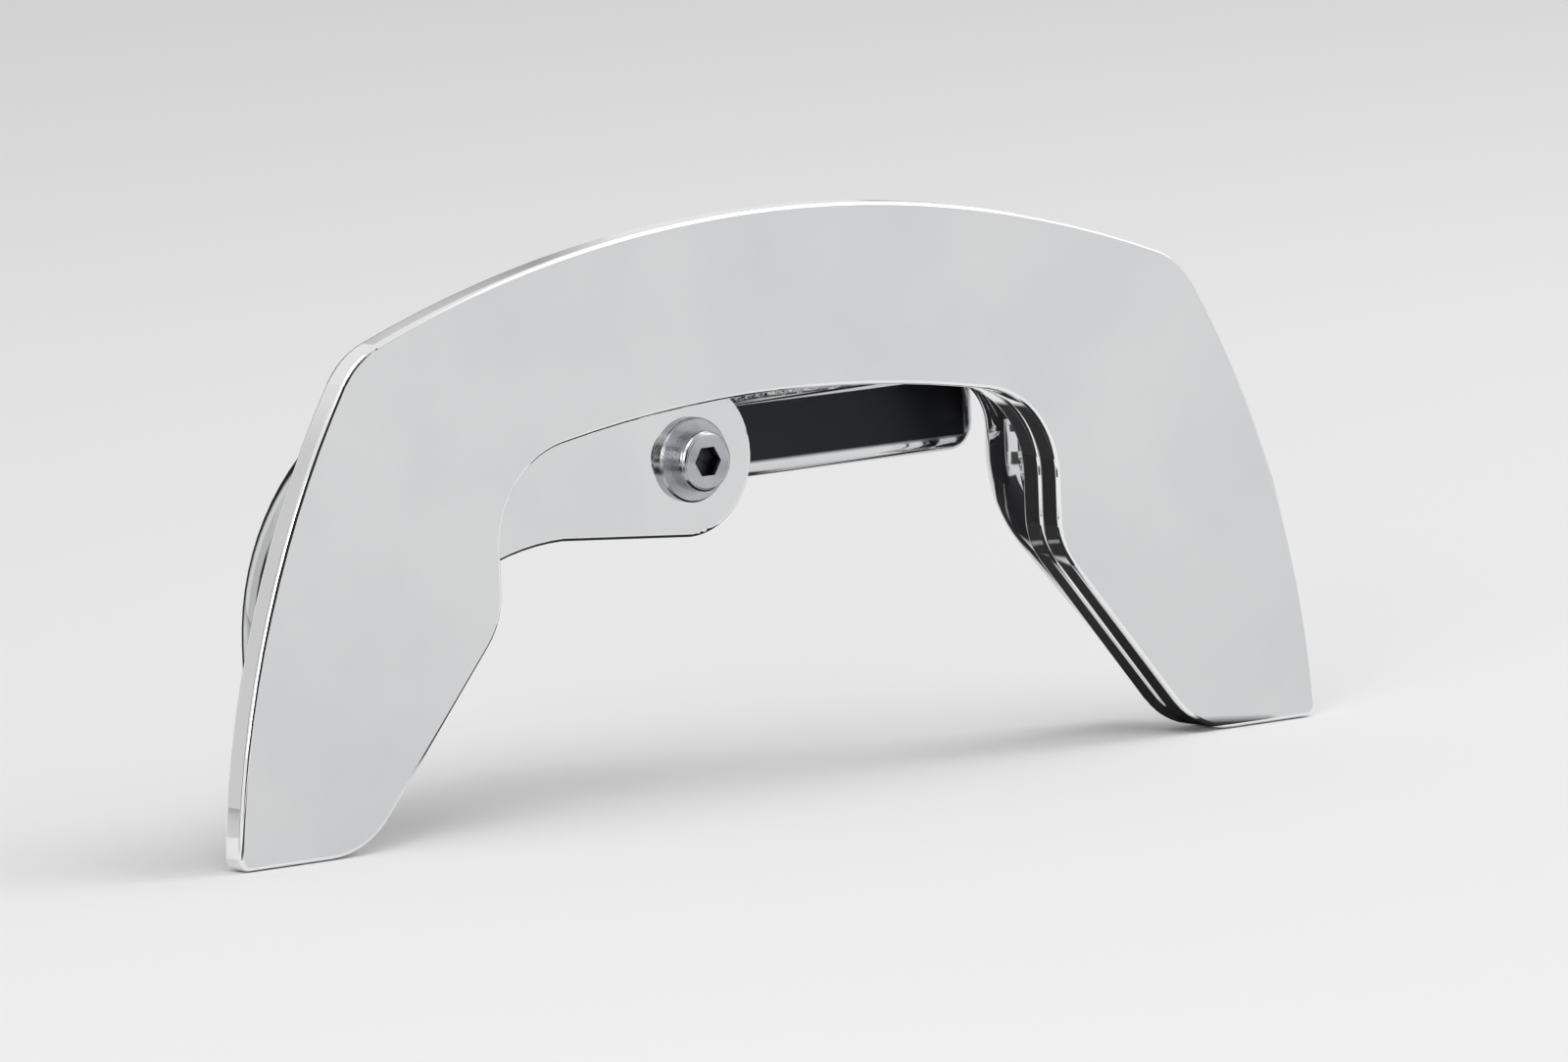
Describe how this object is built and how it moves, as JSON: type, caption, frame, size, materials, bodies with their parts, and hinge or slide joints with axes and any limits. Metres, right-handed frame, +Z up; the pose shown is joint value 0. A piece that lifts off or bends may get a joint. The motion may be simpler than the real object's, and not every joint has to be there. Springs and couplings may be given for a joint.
{
  "type": "side pannier rack",
  "caption": "Chromed C-shaped side carrier on a bent tube, with a screwed lug and a mount rail behind it; a soft motorbike pannier slides onto the plate from above.",
  "frame": {"origin": "midway between the two tapped bosses, on the plane where they meet the strut", "axes": "+X forward along the motorbike, +Y inboard towards the strut, +Z up"},
  "size_m": [0.2888, 0.0453, 0.1242],
  "materials": {
    "chrome": "polished chrome plating",
    "steel_hardware": "bright zinc",
    "black_plastic": "moulded black plastic"
  },
  "bodies": {
    "root": {"front_plate": "chrome", "back_plate": "chrome", "bow_tube": "chrome", "mount_rail": "chrome", "rear_boss": "chrome", "front_boss": "chrome", "lug_standoff": "chrome", "lug_screw": "steel_hardware", "lug_washer": "steel_hardware", "rear_tube_plug": "black_plastic", "front_tube_plug": "black_plastic"}
  },
  "joints": []
}
